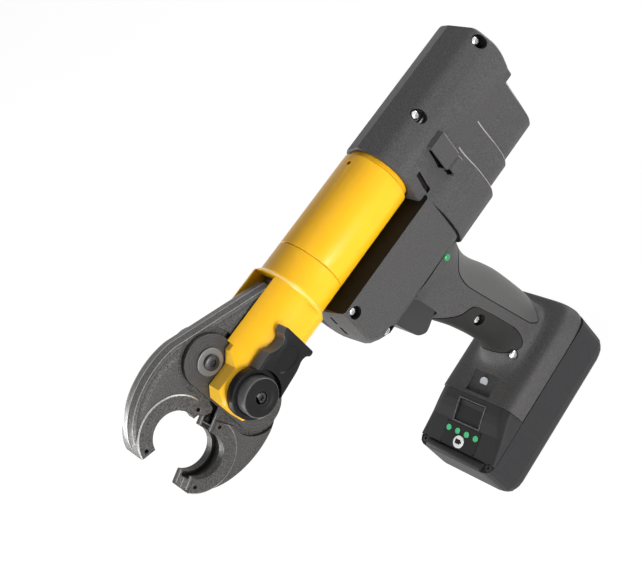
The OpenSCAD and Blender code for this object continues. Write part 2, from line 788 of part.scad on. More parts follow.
// Ring across the battery's top at x, its crown at z
function top_ring(x, z) = let (h = z - case_h, w = half_b - 0.2) [for (p = rounded([
    [-w, case_h, 0], [w, case_h, 0], [w - h * 0.26, case_h + h * 0.8, 1.2], [w - h * 0.7, z, 2],
    [h * 0.7 - w, z, 2], [h * 0.26 - w, case_h + h * 0.8, 1.2]])) [x, p[0], p[1]]];

module battery_upper_case() {
    color("dimgray") difference() {
        union() {
            loft([top_ring(seam_x, top_z), top_ring(30, top_z - 2), top_ring(36, slope_z + 3.3),
                top_ring(slope_x, slope_z), top_ring(slope_end, slope_low)]);
            block([gap - tray_x, gap - tray_y, case_h - deck_t], [tray_x - gap, tray_y - gap, case_h]);
            block([seam_x + 1, gap - tray_y, case_h - deck_t], [tray_x - 3, tray_y - gap, case_h + 1]);
            block([gap - tray_x, -neck_w / 2, case_h - 0.5], [seam_x + 1, neck_w / 2, rail_z0 + 1]);
            block([rail_rear, -neck_w / 2, case_h], [0, neck_w / 2, rail_z0 + 1]);
            block([rail_rear, -rail_w / 2, rail_z0], [seam_x + 1, rail_w / 2, rail_z1]);
        }
        release_window(0.35, 10);
        on_slope() panel_pocket();
        contact_slots();
        case_screw_holes();
    }
}

// Places its children on the sloping face, z = 0 being the face
module on_slope() {
    translate([slope_x, 0, slope_z]) rotate([0, slope_a, 0]) children();
}

release_x0 = 27.5;
release_x1 = 42;
release_w = 24;
module release_window(c, up) {
    block([release_x0 - c, -release_w / 2 - c, case_h + 1], [release_x1 + c, release_w / 2 + c, 80]);
}

module release_button() {
    color("black") profile([[release_x0, case_h + 4.4], [release_x1, case_h + 4.4],
        [release_x1, case_h + 6.6], [release_x1 - 2, case_h + 7.4], [release_x0 + 3, case_h + 11],
        [release_x0, case_h + 13]], -release_w / 2, release_w / 2);
}

panel_x0 = 1.6;
panel_l = 17;
panel_w = 34;
light_x = 6.5;
light_pitch = 9;
button_x = 13.6;
button_d = 9.2;
module panel_pocket() {
    block([panel_x0 - 0.1, -panel_w / 2 - 0.1, -1], [panel_x0 + panel_l + 0.1, panel_w / 2 + 0.1, 5]);
    translate([button_x, 0, -2.4]) cylinder(h = 5, d = button_d + 2 * gap);
}

module display_panel() {
    color("black") on_slope() difference() {
        block([panel_x0, -panel_w / 2, -1], [panel_x0 + panel_l, panel_w / 2, 0.2]);
        translate([button_x, 0, -3]) cylinder(h = 6, d = button_d + 2 * gap);
        for (i = [0 : 3]) translate([light_x, (i - 1.5) * light_pitch, -3])
            cylinder(h = 6, d = 4.4 + 2 * fit_gap);
    }
}

module charge_lights() {
    color("green") on_slope() for (i = [0 : 3])
        translate([light_x, (i - 1.5) * light_pitch, -1]) cylinder(h = 1.6, d = 4.4);
}

module level_button() {
    color("white") on_slope() translate([button_x, 0, -1.2]) cylinder(h = 2.2, d = button_d);
}

blade_y = [-15, -5, 5, 15];
blade_t = 0.9;
module contact_slots() {
    for (y = blade_y) block([rail_rear - 1, y - blade_t / 2 - gap, case_h + 2.4],
        [-44, y + blade_t / 2 + gap, rail_z1 - 1]);
}

module battery_terminals() {
    color("goldenrod") union() {
        block([rail_rear - 4.9, -neck_w / 2, case_h + 1.2], [rail_rear - gap, neck_w / 2, rail_z1]);
        for (y = blade_y) block([rail_rear - 1, y - blade_t / 2, case_h + 3],
            [-49, y + blade_t / 2, rail_z1 - 1.6]);
    }
}

module battery_contacts() {
    color("goldenrod") for (y = blade_y) block([-48.6, y - blade_t / 2, case_h + 2.4],
        [-44.1, y + blade_t / 2, rail_z1 - 1.2]);
}

module battery_cells() {
    color("steelblue") for (i = [0 : 4], k = [0, 1])
        translate([(i - 2) * (cell_d + 1.5), cell_l / 2, tray_floor + 0.1 + cell_d / 2 + k * (cell_d + 0.2)])
            rotate([90, 0, 0]) cylinder(h = cell_l, d = cell_d);
}

housing_left();
housing_right();
handle_left();
handle_right();
motor_cover_left();
motor_cover_right();
press_tube();
pump_block();
gearbox();
motor();
motor_shaft();
control_board();
switch_unit();
trigger();
grip_pad();
grip_insert();
status_light();
work_light();
case_screws();
handle_screws();
battery_terminals();
fork_head();
swivel_ring();
pin_seat();
lock_pin();
pin_knob();
knob_screw();
lock_lever();
plate_left();
plate_right();
jaw_bolts();
bolt_washers();
bolt_screws();
upper_jaw();
lower_jaw();
piston();
roller_carrier();
roller_axles();
upper_roller();
lower_roller();
battery_lower_case();
battery_upper_case();
battery_cells();
battery_contacts();
display_panel();
charge_lights();
level_button();
release_button();
battery_screws();
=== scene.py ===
"""Battery press tool with a swivelling fork head and pressing tongs, dressed round its model.

Lengths in the meshes' own code are millimetres; every mesh is turned into metres in the row's
frame. Most shapes are drawn along the tube's axis, with x forward, y to the left and z up.
"""

import math

import bmesh
import bpy
from mathutils import Matrix, Vector


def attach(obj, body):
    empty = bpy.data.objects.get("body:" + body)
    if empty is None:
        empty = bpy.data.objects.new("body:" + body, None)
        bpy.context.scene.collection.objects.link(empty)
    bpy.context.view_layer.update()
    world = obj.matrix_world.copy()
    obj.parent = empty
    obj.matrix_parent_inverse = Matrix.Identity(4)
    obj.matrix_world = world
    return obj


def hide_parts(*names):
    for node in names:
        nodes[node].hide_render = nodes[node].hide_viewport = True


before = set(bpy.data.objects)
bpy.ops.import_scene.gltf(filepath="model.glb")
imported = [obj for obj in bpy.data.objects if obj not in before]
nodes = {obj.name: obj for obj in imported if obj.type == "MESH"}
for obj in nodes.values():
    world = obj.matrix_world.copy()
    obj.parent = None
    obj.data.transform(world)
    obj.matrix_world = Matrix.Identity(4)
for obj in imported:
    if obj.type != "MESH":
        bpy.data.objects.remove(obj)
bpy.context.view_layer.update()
scene = bpy.context.scene

# Studio: a plain pale floor that keeps the tool's shadow, and a white backdrop. Five soft lamps
# stand on the left, in front, behind, overhead and on the right. The camera looks down from the
# left, along the line that the photograph was taken from.
WHITE = (1, 1, 1, 1)
AMBIENT, BACKDROP_GLOW, FLOOR_GLOW, FLOOR_GLOW_SHARE = 0.16, 1.0, 1.16, 0.8
FLOOR_REACH = 6

scene.view_settings.view_transform = "Standard"
camera = bpy.data.objects.new("camera", bpy.data.cameras.new("camera"))
scene.collection.objects.link(camera)
scene.camera = camera
camera.location = (0.17366, 0.50081, 0.63511)
camera.rotation_euler = [math.radians(a) for a in (41.037, 34.992, 132.232)]
camera.data.sensor_width = 36
camera.data.lens = 59.29
camera.data.clip_start = 0.01


def area_lamp(name, place, aim, size, watts):
    lamp = bpy.data.lights.new(name, "AREA")
    lamp.shape = "RECTANGLE"
    lamp.size, lamp.size_y = size
    lamp.energy = watts
    holder = bpy.data.objects.new(name, lamp)
    scene.collection.objects.link(holder)
    holder.location = place
    holder.rotation_euler = (Vector(aim) - Vector(place)).to_track_quat("-Z", "Y").to_euler()


area_lamp("key_lamp", (0.2, 1.5, 0.2), (0.0, 0, 0.2), (0.7, 0.35), 18.5)
area_lamp("front_lamp", (1.5, 0.25, 0.5), (0.1, 0, 0.22), (0.5, 0.8), 17)
area_lamp("rear_lamp", (-1.4, 0.5, 0.4), (-0.1, 0, 0.2), (0.5, 0.6), 11)
area_lamp("streak_lamp", (-0.25, 0.25, 1.4), (0, 0, 0.2), (0.9, 0.07), 0.6)
area_lamp("right_lamp", (0.9, -1.3, 0.12), (0, 0, 0.2), (0.7, 0.4), 16)


def seen_ray(tree):
    """1 where the eye, a mirror-like surface or a clear one looks straight at the backdrop."""
    path = tree.nodes.new("ShaderNodeLightPath")
    last = path.outputs["Is Camera Ray"]
    for kind in ("Is Glossy Ray", "Is Transmission Ray"):
        either = tree.nodes.new("ShaderNodeMath")
        either.operation = "MAXIMUM"
        tree.links.new(last, either.inputs[0])
        tree.links.new(path.outputs[kind], either.inputs[1])
        last = either.outputs[0]
    return last


def mixed(tree, share, plain, bright, output):
    """Mixes a plain surface with a bright one by share, and joins the mix to the output."""
    mix = tree.nodes.new("ShaderNodeMixShader")
    tree.links.new(share, mix.inputs[0])
    tree.links.new(plain.outputs[0], mix.inputs[1])
    tree.links.new(bright.outputs[0], mix.inputs[2])
    tree.links.new(mix.outputs[0], tree.nodes[output].inputs["Surface"])


world = bpy.data.worlds.new("studio")
scene.world = world
world.use_nodes = True
tree = world.node_tree
ambient = tree.nodes["Background"]
ambient.inputs["Color"].default_value = WHITE
ambient.inputs["Strength"].default_value = AMBIENT
lit = tree.nodes.new("ShaderNodeBackground")
lit.inputs["Color"].default_value = WHITE
lit.inputs["Strength"].default_value = BACKDROP_GLOW
mixed(tree, seen_ray(tree), ambient, lit, "World Output")

floor_mesh = bpy.data.meshes.new("floor")
floor_mesh.from_pydata([(-FLOOR_REACH, -FLOOR_REACH, 0), (FLOOR_REACH, -FLOOR_REACH, 0),
                        (FLOOR_REACH, FLOOR_REACH, 0), (-FLOOR_REACH, FLOOR_REACH, 0)],
                       [], [(0, 1, 2, 3)])
floor = bpy.data.objects.new("floor", floor_mesh)
scene.collection.objects.link(floor)
floor.location.z = -0.0005
floor_paint = bpy.data.materials.new("floor_paint")
floor_paint.use_nodes = True
tree = floor_paint.node_tree
matt = tree.nodes["Principled BSDF"]
matt.inputs["Base Color"].default_value = (0.86, 0.86, 0.86, 1)
matt.inputs["Roughness"].default_value = 0.9
matt.inputs["Specular IOR Level"].default_value = 0.1
glow = tree.nodes.new("ShaderNodeEmission")
glow.inputs["Color"].default_value = WHITE
glow.inputs["Strength"].default_value = FLOOR_GLOW
share = tree.nodes.new("ShaderNodeMath")
share.operation = "MULTIPLY"
share.inputs[1].default_value = FLOOR_GLOW_SHARE
tree.links.new(seen_ray(tree), share.inputs[0])
mixed(tree, share.outputs[0], matt, glow, "Material Output")
floor_mesh.materials.append(floor_paint)

# Front housing: two glass-filled plastic halves, screwed together from the left, that carry the
# press tube in a cradle along their top. The grain is moulded in, and a chamfer runs low down.
TILT = math.radians(2.5)
MM = Matrix.Scale(0.001, 4)
TOOL = MM @ Matrix.Translation((40.5, 0, 248.3)) @ Matrix.Rotation(-TILT, 4, "Y")
BODY_TOP, BODY_BOTTOM, HALF_W = -22.4, -70.0, 27.0
CRADLE_D, OUTSIDE = 46.6, 60
HOLE_D, HOLE_DEEP = 8.8, 2.6
BODY_SCREWS = ((4.5, -29, 24.6), (-4, -63, 22.6))


def finish_of(name, colour, roughness, metallic=0.0, grain=(1500, 0.2), mottle=(400, 0.12),
              coat=0.0, spec=0.5):
    """A finish with fine grain in its relief and a slow mottle in its colour, per metre."""
    m = bpy.data.materials.new(name)
    m.use_nodes = True
    t = m.node_tree
    shader = t.nodes["Principled BSDF"]
    shader.inputs["Roughness"].default_value = roughness
    shader.inputs["Metallic"].default_value = metallic
    shader.inputs["Coat Weight"].default_value = coat
    shader.inputs["Specular IOR Level"].default_value = spec
    where = t.nodes.new("ShaderNodeTexCoord")
    tone = t.nodes.new("ShaderNodeTexNoise")
    tone.inputs["Scale"].default_value = mottle[0]
    tone.inputs["Detail"].default_value = 6
    ramp = t.nodes.new("ShaderNodeValToRGB")
    low, high = ramp.color_ramp.elements
    low.position, high.position = 0.3, 0.7
    low.color = [c * (1 - mottle[1]) for c in colour] + [1]
    high.color = [min(1, c * (1 + mottle[1])) for c in colour] + [1]
    relief = t.nodes.new("ShaderNodeTexNoise")
    relief.inputs["Scale"].default_value = grain[0]
    relief.inputs["Detail"].default_value = 3
    bump = t.nodes.new("ShaderNodeBump")
    bump.inputs["Strength"].default_value = grain[1]
    bump.inputs["Distance"].default_value = 0.0003
    t.links.new(where.outputs["Object"], tone.inputs["Vector"])
    t.links.new(where.outputs["Object"], relief.inputs["Vector"])
    t.links.new(tone.outputs["Fac"], ramp.inputs["Fac"])
    t.links.new(ramp.outputs["Color"], shader.inputs["Base Color"])
    t.links.new(relief.outputs["Fac"], bump.inputs["Height"])
    t.links.new(bump.outputs["Normal"], shader.inputs["Normal"])
    return m


# Painted shade: a near-black plastic on the walls of screw holes, slots, pockets and the seam
# groove, and on the cradle top under the tube.
painted_shade_plastic = finish_of("painted_shade_plastic", (0.012, 0.0115, 0.011), 0.7, spec=0.1)
housing_plastic = finish_of("housing_plastic", (0.066, 0.064, 0.064), 0.52,
                            grain=(1300, 0.8), mottle=(1300, 0.4), spec=0.22)
# Painted highlight: a pale grey plastic on the rims of the cover's sections, its hood and its
# hook.
edge_highlight_plastic = finish_of("edge_highlight_plastic", (0.34, 0.33, 0.325), 0.4, spec=0.3)
housing_finishes = [housing_plastic, edge_highlight_plastic, painted_shade_plastic]


def corner(a, p, b, cut, n):
    """A rounded corner at p between its neighbours a and b, cut back along both sides."""
    if cut == 0:
        return [p]
    k = min(cut, (a - p).length * 0.45, (b - p).length * 0.45)
    u, v = (a - p).normalized(), (b - p).normalized()
    return [(1 - t) ** 2 * (p + k * u) + 2 * t * (1 - t) * p + t * t * (p + k * v)
            for t in (i / n for i in range(n + 1))]


def rounded(corners, n=8):
    """An outline with rounded corners, each corner being (first, second, cut-back)."""
    q = [Vector(c[:2]) for c in corners]
    m = len(q)
    return [p for i, c in enumerate(corners)
            for p in corner(q[i - 1], q[i], q[(i + 1) % m], c[2], n)]


def full_turn(n):
    """The angles of n even steps round a circle."""
    return [2 * math.pi * i / n for i in range(n)]


def scratch(points, faces, strips=()):
    """A mesh object in millimetres, not yet a piece. Strips are pairs of a face and its finish."""
    mesh = bpy.data.meshes.new("scratch")
    mesh.from_pydata([tuple(p) for p in points], [], faces)
    for _ in range(3):
        mesh.materials.append(None)
    for f, finish in strips:
        mesh.polygons[f].material_index = finish
    bm = bmesh.new()
    bm.from_mesh(mesh)
    bmesh.ops.remove_doubles(bm, verts=bm.verts, dist=1e-4)
    bmesh.ops.recalc_face_normals(bm, faces=bm.faces)
    bm.to_mesh(mesh)
    bm.free()
    o = bpy.data.objects.new("scratch", mesh)
    scene.collection.objects.link(o)
    return o


def loft(rings, strips=None):
    """A closed solid through rings of points. Strips gives the finish of strips that differ."""
    n, m = len(rings[0]), len(rings)
    faces = [list(range(n)), [(m - 1) * n + i for i in range(n)][::-1]]
    marked = []
    for k in range(m - 1):
        for i in range(n):
            a, b = k * n + i, k * n + (i + 1) % n
            if strips and k in strips:
                marked.append((len(faces), strips[k]))
            faces.append((a, a + n, b + n, b))
    return scratch([p for r in rings for p in r], faces, marked)


def prism(outline, y0, y1):
    """An outline in x and z, run across the tool from y0 to y1."""
    return loft([[(p[0], y, p[1]) for p in outline] for y in (y0, y1)])


def block(a, b):
    """A plain block between two opposite corners, to cut or join with."""
    return prism([(a[0], a[2]), (b[0], a[2]), (b[0], b[2]), (a[0], b[2])], a[1], b[1])


def rod(x, z, y0, y1, d, n=48):
    """A round rod of diameter d across the tool."""
    return loft([[(x + d / 2 * math.cos(a), y, z + d / 2 * math.sin(a)) for a in full_turn(n)]
                 for y in (y0, y1)])


def bar(x0, x1, d, n=96):
    """A round bar along the tube's axis."""
    return loft([[(x, d / 2 * math.cos(a), d / 2 * math.sin(a)) for a in full_turn(n)]
                 for x in (x0, x1)])


def shape(base, cut=(), join=(), keep=()):
    """Joins, cuts or intersects scratch objects exactly, and returns the one that is left."""
    for how, tools in (("UNION", join), ("DIFFERENCE", cut), ("INTERSECT", keep)):
        for tool in tools:
            m = base.modifiers.new("shape", "BOOLEAN")
            m.operation, m.object, m.solver = how, tool, "EXACT"
            m.material_mode = "INDEX"
    ready = base.evaluated_get(bpy.context.evaluated_depsgraph_get())
    mesh = bpy.data.meshes.new_from_object(ready)
    base.modifiers.clear()
    base.data = mesh
    for tool in [*join, *cut, *keep]:
        bpy.data.objects.remove(tool)
    return base


def dark(o, finish=2):
    """Gives a cutter another finish, the third as a rule, which the walls of its cut show.
    On the housings and grips that third finish is a painted shade.
    """
    for f in o.data.polygons:
        f.material_index = finish
    return o


def mirrored(o):
    """Turns a scratch object over to the other side of the tool."""
    o.data.transform(Matrix.Scale(-1, 4, (0, 1, 0)))
    o.data.flip_normals()
    return o


def screw_hole(x, z, y):
    """The round hole that a screw with its head at y is sunk in, its walls painted dark as shade.
    """
    return dark(rod(x, z, y - HOLE_DEEP, OUTSIDE, HOLE_D))


def round_edges(o, edge, steps=2, angle=32, worn=None):
    """Rounds edges sharper than angle by edge millimetres, and leaves the mesh itself alone."""
    m = o.modifiers.new("edge", "BEVEL")
    m.width = edge * 0.001
    m.segments = steps
    m.limit_method = "ANGLE"
    m.angle_limit = math.radians(angle)
    m.use_clamp_overlap = True
    m.harden_normals = True
    if worn is not None:
        m.material = worn


def piece(o, name, body, finishes, place=TOOL, edge=0.0, steps=2, angle=32, worn=None,
          stands_for=None):
    """Makes a scratch object a shown piece: in the row's frame, rounded, finished and riding."""
    o.data.transform(place)
    o.name = o.data.name = name
    for i in range(3):
        o.data.materials[i] = finishes[min(i, len(finishes) - 1)]
    for f in o.data.polygons:
        f.use_smooth = True
    if edge:
        round_edges(o, edge, steps, angle, worn)
    else:
        o.data.set_sharp_from_angle(angle=math.radians(angle))
    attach(o, body)
    if stands_for:
        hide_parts(*stands_for)
    return o


def hull_ring(x, w, z, t=0.0):
    """The front housing's half section at x: half width w, bottom at z, top drawn down by t."""
    top = BODY_TOP + 0.5 - t
    return [(x, p[0], p[1]) for p in rounded(
        [(0, top, 0), (w, top, 0), (w, z + 9, 3), (w - 8, z, 5), (0, z - 0.5, 0)])]


def front_housing():
    """One half of the housing, its nose drawn in and two air slots in its front."""
    shell = loft([hull_ring(13, 9, -55, 1.5), hull_ring(12.2, 17, -57, 0.8),
                  hull_ring(10.6, 25.6, -60, 0.2), hull_ring(9, HALF_W, -61.5),
                  hull_ring(3, HALF_W, -66), hull_ring(-5, HALF_W, BODY_BOTTOM),
                  hull_ring(-81, HALF_W, BODY_BOTTOM),
                  hull_ring(-81.05, HALF_W - 1.2, BODY_BOTTOM + 1.2),
                  hull_ring(-82, HALF_W - 1.2, BODY_BOTTOM + 1.2)])
    slots = [dark(block((8.6, 8, z0), (15, 10.4, z1)))
             for z0, z1 in ((-37.4, -29.8), (-49.3, -41))]
    # The cradle top under the tube and the walls of the air slots take the painted shade.
    return shape(shell, cut=[dark(block((-90, -1, BODY_TOP), (20, 40, 0))),
                             bar(-84, 30, CRADLE_D), *slots])


left = shape(front_housing(), cut=[screw_hole(*at) for at in BODY_SCREWS])
right = mirrored(front_housing())
piece(left, "front_housing_left", "drive", housing_finishes, edge=0.5,
      stands_for=["housing_left"])
piece(right, "front_housing_right", "drive", housing_finishes, edge=0.5,
      stands_for=["housing_right"])

# Motor cover: the rear of the two plastic halves, an upper lobe round the pump and motor over a
# lower one that steps in three times towards the rear. Screws hold it, and its rims carry painted
# highlights.
COVER_SCREWS = ((-114, 15, 17), (-178.5, 13, 18))
MOTOR_BORE_D = 43
HOOK_Y, HOOK_Z = 23.4, -25.5


def lobe(x, g=0.0):
    """The cover's upper lobe at x, drawn in by g."""
    return [(x, p[0], p[1]) for p in rounded(
        [(0, 25 - g, 0), (17 - g * 0.7, 18.4 - g, 4), (25.4 - g, 5.5 - g * 0.5, 6),
         (26 - g, -4, 6), (24 - g, -14, 4), (23 - g, -17, 0.6), (23 - g, BODY_TOP + 0.3, 0),
         (0, BODY_TOP + 0.3, 0)])]


def belly(x, b, z, k=0.0, g=0.0):
    """The lower lobe at x, bulging by b, bottom at z, corner fuller by k, drawn in by g."""
    return [(x, p[0], p[1]) for p in rounded(
        [(0, -12, 0), (22.6, -12, 0), (22.2, -29, 5), (23 + b - g, -45, 8),
         (23 + b - g, z + 15 - k, 8), (15 + b - g + k * 0.6, z + 2 + g - k * 0.3, 7),
         (0, z + g, 0)])]


def hook_ring(x, r):
    """The round hook's section at x, with radius r."""
    return [(x, HOOK_Y + r * math.cos(a), HOOK_Z + r * math.sin(a)) for a in full_turn(32)]


def motor_cover():
    """One half of the cover: its lobes, the hooded hook on its side, and its bore and seam."""
    # Strips marked 1 are painted highlights on the rims; strips marked 2 are the seam groove's
    # painted shade.
    upper = loft([lobe(-77, 1), lobe(-77.4, 0.3), lobe(-78.4), lobe(-182.6), lobe(-183.8, 0.35),
                  lobe(-184.8, 1.1), lobe(-185.5, 2.4)], {4: 1})
    lower = [loft([belly(-82.3, 4, -78, 0, 2), belly(-83.4, 4, -78, 0, 2),
                   belly(-83.5, 4, -78, 0, 0.7), belly(-84.2, 4, -78), belly(-121.6, 4, -78),
                   belly(-122.5, 4, -78, 0, 0.8)], {0: 2, 1: 2, 4: 1}),
             loft([belly(-121, 2, -71.5, 2), belly(-143.6, 2, -71.5, 2),
                   belly(-144.5, 2, -71.5, 2, 0.8)], {1: 1}),
             loft([belly(-143, 0.3, -67, 5), belly(-177.1, 0.3, -67, 5),
                   belly(-178, 0.3, -67, 5, 0.8)], {1: 1})]
    hood = loft([[(x, 20, -20), (x, 29.2 - c, -20 + c), (x, 29.2 - c, 0.5 - 2 * c), (x, 20, 3.6)]
                 for x, c in ((-116, 0.6), (-115.4, 0), (-102.4, 0), (-102, 0.5))], {0: 1})
    hook = loft([hook_ring(x, r) for x, r in ((-116, 4.2), (-115.4, 4.8), (-105, 4.8))], {0: 1})
    # The pockets in the hood and the hook, and the cleft, are painted dark as shade.
    pockets = [dark(block((-112, 22, -18.6), (-101.4, 27.9, -1.6))),
               dark(loft([hook_ring(x, 3.4) for x in (-112, -104)]))]
    cleft = dark(loft([[(x, 20.4, -24), (x, 29, -22), (x, 29, -6), (x, 23.4, -5)]
                       for x in (-88.2, -84.6)]))
    slope = prism([(-178.8, 26), (-188, 26), (-188, 13.5)], -1, 40)
    return shape(upper, join=[*lower, hood, hook],
                 cut=[cleft, slope, *pockets, bar(-180, -70, MOTOR_BORE_D)])


left = shape(motor_cover(), cut=[screw_hole(*at) for at in COVER_SCREWS])
right = mirrored(motor_cover())
piece(left, "cover_left", "drive", housing_finishes, edge=0.35,
      stands_for=["motor_cover_left"])
piece(right, "cover_right", "drive", housing_finishes, edge=0.35,
      stands_for=["motor_cover_right"])

# Handle and foot: the same plastic mouldings carry down into a pistol grip and flare into a
# broad foot that the battery slides under. A groove runs round each soft pad. These shapes are
# drawn in the row's own frame, and a station is (height, rear, front, half width, squareness).
FOOT = ((0, -70.3, 60, 37.2, 8), (4, -70.3, 60, 37, 8), (10, -69.4, 58, 34.9, 7),
        (13.6, -67.6, 52, 32.5, 6), (15, -64, 46, 28.5, 5))
HANDLE = ((15.6, -63, 22, 25, 3.2), (17, -60.5, 8, 21, 2.8), (21, -59, -3, 18.4, 2.6),
          (32, -58.6, -9.6, 17.2, 2.5), (47, -57, -8.6, 17, 2.5), (74, -52.6, -2, 17, 2.5),
          (88, -48.6, 2.8, 17, 2.5), (100, -44.2, 7, 17.2, 2.5), (111, -42, 8, 18, 2.4),
          (121, -42.4, 9, 19.5, 2.4), (128, -44, 10, 21.5, 2.4), (136, -48, 16, 24, 2.5),
          (142, -50, 26, 25.4, 2.6))
CASE_H, SEAM_X = 40.0, 23.0
GRIP_SCREWS = ((-14.2, 111, 13.4), (-14.5, 63.5, 19))
PAD_SIDE = rounded([(-80, 156, 1), (-50, 167, 1), (-36, 164.5, 8), (-25.4, 157, 9),
                    (-23.4, 143, 14), (-28.4, 120, 14), (-41, 66, 6), (-46, 59.5, 3),
                    (-52.5, 66, 6), (-62, 90, 1), (-80, 90, 1)], 6)
INSERT_SIDE = rounded([(12, 142.6, 1), (6.8, 140.8, 2), (-6, 128, 5), (-17.5, 125, 7),
                       (-24, 100, 12), (-29.5, 74, 8), (-26, 60.6, 7), (-12, 66.5, 8),
                       (-3.6, 80, 6), (20, 84, 1)], 6)


def half_oval(x0, x1, w, n, z, steps=40):
    """Half of a rounded oblong from its front round to its rear, n being its squareness."""
    out = []
    for i in range(steps + 1):
        c, s = math.cos(math.pi * i / steps), math.sin(math.pi * i / steps)
        out.append(((x0 + x1) / 2 + (x1 - x0) / 2 * math.copysign(abs(c) ** (2 / n), c),
                    w * abs(s) ** (2 / n), z))
    return out


def eased(stations, per=4):
    """More stations between those given, on a smooth curve through them."""
    out = []
    for i in range(len(stations) - 1):
        a, b, c, d = (stations[max(0, min(len(stations) - 1, k))]
                      for k in (i - 1, i, i + 1, i + 2))
        h = c[0] - b[0]
        for j in range(per):
            t = j / per
            row = [b[0] + h * t]
            for k in range(1, 5):
                mb = (c[k] - a[k]) / max(c[0] - a[0], 1e-6) * h
                mc = (d[k] - b[k]) / max(d[0] - b[0], 1e-6) * h
                lim = 3 * abs(c[k] - b[k])
                mb, mc = (max(-lim, min(lim, m)) for m in (mb, mc))
                row.append((2 * t ** 3 - 3 * t * t + 1) * b[k] + (t ** 3 - 2 * t * t + t) * mb
                           + (3 * t * t - 2 * t ** 3) * c[k] + (t ** 3 - t * t) * mc)
            out.append(row)
    return out + [list(stations[-1])]


def whole_handle(inset):
    """The grip alone on both sides of the tool, drawn in by inset all round."""
    rings = []
    for s in eased(HANDLE):
        h = half_oval(s[1] + inset, s[2] - inset, s[3] - inset, s[4], CASE_H + s[0])
        rings.append(h + [(p[0], -p[1], p[2]) for p in h[-2:0:-1]])
    return loft(rings)


def grown(outline, d):
    """A closed outline moved out by d, its corners going round against the clock or with it."""
    area = sum(a[0] * b[1] - b[0] * a[1] for a, b in zip(outline, outline[1:] + outline[:1]))
    side = 1 if area > 0 else -1
    out = []
    for i, p in enumerate(outline):
        t = (outline[(i + 1) % len(outline)] - outline[i - 1]).normalized()
        out.append(Vector((p[0] + side * t[1] * d, p[1] - side * t[0] * d)))
    return out


def in_row(o):
    """A scratch object drawn along the tube's axis, put into the row's frame in millimetres."""
    o.data.transform(Matrix.Scale(1000, 4) @ TOOL)
    return o


def cover_cut():
    """The room of the housing above the handle, which the neck is fitted round."""
    half = [(HALF_W + 0.1, 40), (HALF_W + 0.1, -60.9), (HALF_W - 7.9, -70.1)]
    room = half + [(-y, z) for y, z in half[::-1]]
    return [in_row(block((-200, -OUTSIDE, -78.3), (-82, OUTSIDE, 60))),
            in_row(loft([[(x, y, z) for y, z in room] for x in (-81.9, 60)]))]


def soft_recess(outline):
    """The shallow bed of a soft pad, a little wider than the pad so that a groove is left."""
    return shape(prism(grown(outline, 0.8), -OUTSIDE, OUTSIDE), cut=[whole_handle(2.2)])


def trigger_path():
    """The room that the trigger slides through, at both ends of its pull."""
    return [in_row(prism([(-10 + dx, -71.2), (-10 + dx, -99), (-27 + dx, -104.4),
                          (-45.3 + dx, -97.4), (-45.3 + dx, -71.2)], -11.8, 11.8))
            for dx in (0, -6.3)]


def handle_and_foot():
    """One half of the grip and foot, with the dip of the work lamp and the beds of the pads."""
    foot = loft([half_oval(s[1], s[2], s[3], s[4], CASE_H + 0.3 + s[0]) for s in eased(FOOT)]
                + [half_oval(s[1], s[2], s[3], s[4], CASE_H + s[0]) for s in eased(HANDLE)])
    lamp_dip = prism([(3, 56.4), (20.2, 53.2), (20.2, 60), (3, 60)], -12, 12)
    return shape(foot, cut=[block((SEAM_X - 0.3, -1, 0), (80, 60, 70)), *cover_cut(),
                            *trigger_path(), lamp_dip, soft_recess(PAD_SIDE),
                            soft_recess(INSERT_SIDE)])


left = shape(handle_and_foot(), cut=[screw_hole(*at) for at in GRIP_SCREWS])
right = mirrored(handle_and_foot())
piece(left, "grip_left", "drive", housing_finishes, place=MM, edge=0.3,
      stands_for=["handle_left"])
piece(right, "grip_right", "drive", housing_finishes, place=MM, edge=0.3,
      stands_for=["handle_right"])

# Soft grips: two pieces of grained rubber moulded over the handle, one over its back and one
# round its front under the trigger, standing a little proud of the plastic.
rubber = finish_of("grip_rubber", (0.062, 0.061, 0.06), 0.45, grain=(900, 0.6),
                   mottle=(900, 0.12), spec=0.6)
dark_rubber = finish_of("dark_rubber", (0.02, 0.0195, 0.019), 0.55, grain=(1500, 0.4),
                        mottle=(900, 0.12), spec=0.2)


def soft_grip(outline, cut=()):
    """A layer over the handle inside an outline seen from the side."""
    return shape(prism(outline, -OUTSIDE, OUTSIDE), keep=[whole_handle(-0.15)],
                 cut=[whole_handle(2.1), *cover_cut(), *cut])


piece(soft_grip(PAD_SIDE), "soft_back", "drive",
      [rubber, rubber, painted_shade_plastic], place=MM, edge=0.3, stands_for=["grip_pad"])
# The screw hole through the front pad is painted dark as shade.
grip_hole = dark(rod(*GRIP_SCREWS[0][:2], 0, OUTSIDE, HOLE_D))
piece(soft_grip(INSERT_SIDE, [grip_hole]), "soft_front", "drive",
      [dark_rubber, dark_rubber, painted_shade_plastic], place=MM, edge=0.3, stands_for=["grip_insert"])

# Housing screws: four through the housing and two through the handle, zinc-plated with domed
# six-lobed heads, sunk in round holes on the left side. They hold the two halves together.
SCREW_HEAD = {"r": 3.4, "rise": 1.5, "deep": 2.6, "drive": 1.75}
bright_steel = finish_of("bright_screw", (0.72, 0.72, 0.73), 0.22, 1.0, grain=(2000, 0.1),
                         mottle=(700, 0.1))


def spun(x, z, profile, n=64, strips=None):
    """A solid turned about a line across the tool, its profile being (y, radius)."""
    return loft([[(x + r * math.cos(a), y, z + r * math.sin(a)) for a in full_turn(n)]
                 for y, r in profile], strips)


def star(x, z, r, y0, y1):
    """A six-lobed bar across the tool, for the drive of a screw."""
    return prism([(x + r * (0.84 + 0.16 * math.cos(6 * a)) * math.cos(a),
                   z + r * (0.84 + 0.16 * math.cos(6 * a)) * math.sin(a))
                  for a in full_turn(48)], y0, y1)


